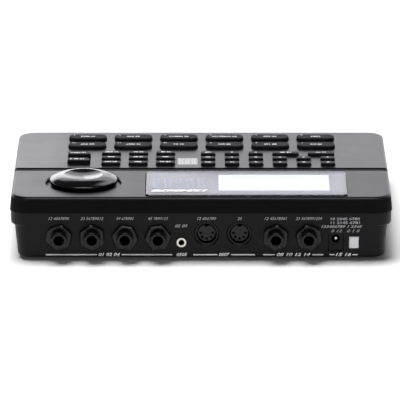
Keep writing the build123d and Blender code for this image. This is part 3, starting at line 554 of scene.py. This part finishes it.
# prints round the sockets, read from behind the machine
readLeft = Vector((-1, 0, 0))
backward = Vector((0, 1, 0))
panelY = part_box("bottom_case")[1].y
panelPlace = facePlace(Vector((0, panelY + inkLift, 0)), readLeft, backward)
panelPrint = {
    "lineZ": 4.0, "lineWidth": 0.8, "slant": 0.3,
    # ends of the lines, as seen from behind
    "lines": (
        (-96.5, -64.7), (-49.6, -17.8), (-5.0, 10.2), (18.6, 33.5), (38.5, 46.0), (69.0, 76.2),
        (79.9, 83.0), (94.1, 97.6)),
    # middle, width and numbers of each group between the lines
    "groupHeight": 2.0, "groupWeight": 0.05,
    "groups": (
        (-57.1, 13.4, "01 02 04"), (-11.9, 6.7, "0505"), (14.4, 6.7, "0607"), (57.5, 21.0, "08 10 12 14"),
        (88.5, 9.9, "15 16")),
    # labels over the sockets, with their height above the table
    "labelZ": 27.6, "labelHeight": 1.8, "labelWeight": 0.02,
    "labelWidths": {
        "output_jack": (12.7, 14.2, 10.9, 12.4), "midi_socket": (11.9, 2.7),
        "footswitch_jack": (14.0, 16.4)},
    # height above the table, width and numbers
    "tapeLabel": (22.8, 7.8, "05 05"),
    # middle, height above the table, width and numbers of the labels of the inlet and the power key
    "keyLabels": ((84.2, 19.5, 6.5, "0 12"), (94.6, 19.5, 7.7, "0 1 0")),
    # the same, and the slant, of the rows over them
    "rowHeight": 1.6, "rowWeight": 0.04,
    "rows": (
        (89.5, 27.4, 18.2, "10 2045 6780", 0.0), (89.5, 24.9, 18.2, "11 2145 6781", 0.0),
        (87.3, 22.4, 25.4, "123456789 1 2345", 0.3)),
}


# centres of the sockets of a mount name, as x in mm on the panel
def socketX(start):
    places = [m["pos_m"][0] for m in frame["record"]["mounts"] if m["name"].startswith(start)]
    return sorted(-x / mm for x in places)


def buildPanelPrints():
    look = panelPrint
    bold = [
        bar(((start + end) / 2, look["lineZ"]), end - start, look["lineWidth"])
        for start, end in look["lines"]]
    bold += [
        digits(text, (x, look["lineZ"]), look["groupHeight"], width, look["slant"], look["groupWeight"])
        for x, width, text in look["groups"]]
    printPiece("panelPrints", bold, panelPlace, "case")
    thin = [
        digits(text, (x, z), look["rowHeight"], width, slant, look["rowWeight"])
        for x, z, width, text, slant in look["rows"]]
    labels = []
    for start, widths in look["labelWidths"].items():
        for number, (x, width) in enumerate(zip(socketX(start), widths), start=1):
            labels.append((x, look["labelZ"], width, countRow(width, look["labelHeight"], number)))
    labels += [(x, *look["tapeLabel"]) for x in socketX("tape_jack")]
    labels += look["keyLabels"]
    thin += [
        digits(text, (x, z), look["labelHeight"], width, look["slant"], look["labelWeight"])
        for x, z, width, text in labels]
    printPiece("panelLabels", thin, panelPlace, "case", "greyInk")


buildPanelPrints()
print("stage: socket panel prints")

# white floor: size in m, and a faint glow for what is seen, so that it runs into the background
floorLook = {
    "colour": "#fefefe", "size": 12.0, "glow": 0.02, "cloudScale": 3.0, "cloudDetail": 2.0,
    "roughness": (0.85, 0.95)}


def buildFloor():
    look = floorLook
    half = look["size"] / 2
    mesh = bpy.data.meshes.new("floor")
    corners = [(-half, -half, 0), (half, -half, 0), (half, half, 0), (-half, half, 0)]
    mesh.from_pydata(corners, [], [(0, 1, 2, 3)])
    floor = bpy.data.objects.new("floor", mesh)
    scene.collection.objects.link(floor)
    material, tree = newMaterial("paintedFloor")
    place = addNode(tree, "ShaderNodeTexCoord").outputs["Object"]
    cloud = addNode(tree, "ShaderNodeTexNoise", sockets={
        "Vector": place, "Scale": look["cloudScale"], "Detail": look["cloudDetail"]})
    low, high = look["roughness"]
    gloss = addNode(tree, "ShaderNodeMapRange", sockets={
        "Value": cloud.outputs["Fac"], "To Min": low, "To Max": high})
    rays = addNode(tree, "ShaderNodeLightPath").outputs
    seen = addMath(tree, "MAXIMUM", rays["Is Camera Ray"], rays["Is Glossy Ray"])
    seen = addMath(tree, "MAXIMUM", seen, rays["Is Transmission Ray"])
    shader = addNode(tree, "ShaderNodeBsdfPrincipled", sockets={
        "Base Color": hexToLinear(look["colour"]), "Roughness": gloss.outputs["Result"],
        "Specular IOR Level": 0.0, "Emission Color": white,
        "Emission Strength": addMath(tree, "MULTIPLY", seen, look["glow"])})
    addNode(tree, "ShaderNodeOutputMaterial", sockets={"Surface": shader.outputs["BSDF"]})
    mesh.materials.append(material)


# what shiny faces mirror: each panel has its end of the room along Y, its height (sine of the
# elevation), its side (part of the way round to +X), the softness of its ends and its brightness
studio = {
    "ambient": 0.1, "room": 0.05, "tint": "#fbfaff",
    "panels": {
        "backdrop": {
            "end": "LESS_THAN", "height": (-1.2, 0.4), "side": (-0.8, 0.8), "soft": 0.12, "level": 1.55},
        "canopy": {
            "end": "LESS_THAN", "height": (0.4, 0.59), "side": (-0.8, 0.3), "soft": 0.07, "level": 1.2},
        "sideWindow": {
            "end": "LESS_THAN", "height": (0.5, 0.82), "side": (-0.95, -0.35), "soft": 0.1, "level": 1.5},
        "ceiling": {
            "end": "GREATER_THAN", "height": (0.74, 1.2), "side": (-0.7, 0.7), "soft": 0.06, "level": 3.2},
    },
}


def buildWorld():
    look = studio
    world = bpy.data.worlds.new("studio")
    scene.world = world
    world.use_nodes = True
    tree = world.node_tree
    tree.nodes.clear()
    direction = addNode(tree, "ShaderNodeTexCoord").outputs["Generated"]
    parts = addNode(tree, "ShaderNodeSeparateXYZ", sockets={"Vector": direction}).outputs
    flat = addNode(tree, "ShaderNodeCombineXYZ", sockets={"X": parts["X"], "Y": parts["Y"]}).outputs["Vector"]
    turned = addNode(tree, "ShaderNodeVectorMath", {"operation": "NORMALIZE"}, {0: flat}).outputs["Vector"]
    sides = addNode(tree, "ShaderNodeSeparateXYZ", sockets={"Vector": turned}).outputs
    mirrored = look["room"]
    for panel in look["panels"].values():
        height = softSpan(tree, parts["Z"], panel["height"], panel["soft"])
        side = softSpan(tree, sides["X"], panel["side"], panel["soft"])
        end = addMath(tree, panel["end"], parts["Y"], 0.0)
        lit = addMath(tree, "MULTIPLY", addMath(tree, "MULTIPLY", height, side), end)
        mirrored = addMix(tree, "FLOAT", lit, mirrored, panel["level"])
    rays = addNode(tree, "ShaderNodeLightPath").outputs
    shiny = addMath(tree, "MAXIMUM", rays["Is Glossy Ray"], rays["Is Transmission Ray"])
    light = addMix(tree, "FLOAT", shiny, look["ambient"], mirrored)
    background = addNode(tree, "ShaderNodeBackground", sockets={
        "Color": addMix(tree, "RGBA", rays["Is Camera Ray"], hexToLinear(look["tint"]), white),
        "Strength": addMix(tree, "FLOAT", rays["Is Camera Ray"], light, 1.0)})
    addNode(tree, "ShaderNodeOutputWorld", sockets={"Surface": background.outputs["Background"]})


# place, aim, width and height in m, power in watts, and whether shiny faces mirror the lamp
lamps = {
    "overheadSoftbox": ((0.44, -0.56, 3.6), (0, 0, 0), 2.4, 1.68, 176.0, False),
    "frontFill": ((-0.3, 1.8, 0.11), (0, 0.08, 0.02), 1.2, 0.2, 2.4, False),
    "leftSoftbox": ((0.46, -1.25, 0.4), (0.05, 0, 0.03), 0.72, 0.5, 1.05, True),
}


def buildLamps():
    for name, (place, aim, width, height, power, mirrored) in lamps.items():
        lamp = bpy.data.lights.new(name, "AREA")
        lamp.shape = "RECTANGLE"
        lamp.size = width
        lamp.size_y = height
        lamp.energy = power
        holder = bpy.data.objects.new(name, lamp)
        holder.location = place
        holder.rotation_euler = (Vector(aim) - Vector(place)).to_track_quat("-Z", "Y").to_euler()
        holder.visible_camera = False
        holder.visible_glossy = mirrored
        scene.collection.objects.link(holder)


# aim, distance, lens and sensor in mm, elevation in degrees, nearest and farthest sight in m
shot = {
    "aim": (0.68, 79.0, 40.03), "distance": 3098.0, "elevation": 18.5, "lens": 450.0, "sensor": 36.0,
    "clip": (0.1, 50)}


def buildCamera():
    camera = bpy.data.cameras.new("camera")
    camera.lens = shot["lens"]
    camera.sensor_width = shot["sensor"]
    camera.clip_start, camera.clip_end = shot["clip"]
    holder = bpy.data.objects.new("camera", camera)
    tilt = radians(shot["elevation"])
    aim = Vector(shot["aim"]) * mm
    place = aim + Vector((0, cos(tilt), sin(tilt))) * shot["distance"] * mm
    holder.location = place
    holder.rotation_euler = (aim - place).to_track_quat("-Z", "Y").to_euler()
    scene.collection.objects.link(holder)
    scene.camera = holder


buildFloor()
buildWorld()
buildLamps()
buildCamera()
print("stage: studio and camera")
